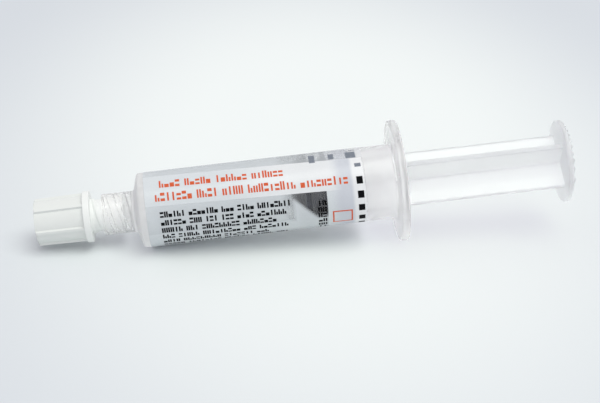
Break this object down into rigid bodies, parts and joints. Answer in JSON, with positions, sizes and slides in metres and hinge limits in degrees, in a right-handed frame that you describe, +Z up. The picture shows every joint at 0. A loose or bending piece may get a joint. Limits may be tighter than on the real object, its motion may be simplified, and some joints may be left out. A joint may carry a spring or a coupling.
{
  "type": "pre-filled flush syringe",
  "caption": "Clear flush syringe lying on its side: capped luer-lock tip, wrapped label, dark stopper on a cross-finned plunger rod, round finger flange and thumb press.",
  "frame": {"origin": "middle of the bounding box's underside, on the surface that the syringe lies on", "axes": "+Z up, +X from the tip cap to the thumb press along the table; the syringe's own axis lies in the XZ plane and rises 5.3 degrees towards the press, as it rests on its shoulder and flange"},
  "size_m": [0.1192, 0.027, 0.027],
  "materials": {
    "clear_barrel": "clear gloss",
    "white_cap": "satin moulded",
    "label_film": "satin film",
    "stopper_rubber": "satin",
    "clear_rod": "clear gloss",
    "saline": "clear liquid"
  },
  "bodies": {
    "barrel": {"barrel": "clear_barrel", "label": "label_film", "saline": "saline"},
    "plunger": {"plunger_rod": "clear_rod", "stopper": "stopper_rubber"},
    "cap": {"tip_cap": "white_cap"}
  },
  "joints": [
    {"name": "plunger_slide", "type": "slide", "parent": "barrel", "child": "plunger", "axis": [0.9957, 0, 0.0927], "range_m": [-0.03392, 0.01285], "deforming": ["saline"]},
    {"name": "cap_slide", "type": "slide", "parent": "barrel", "child": "cap", "axis": [-0.9957, 0, -0.0927], "range_m": [0, 0.012]}
  ]
}
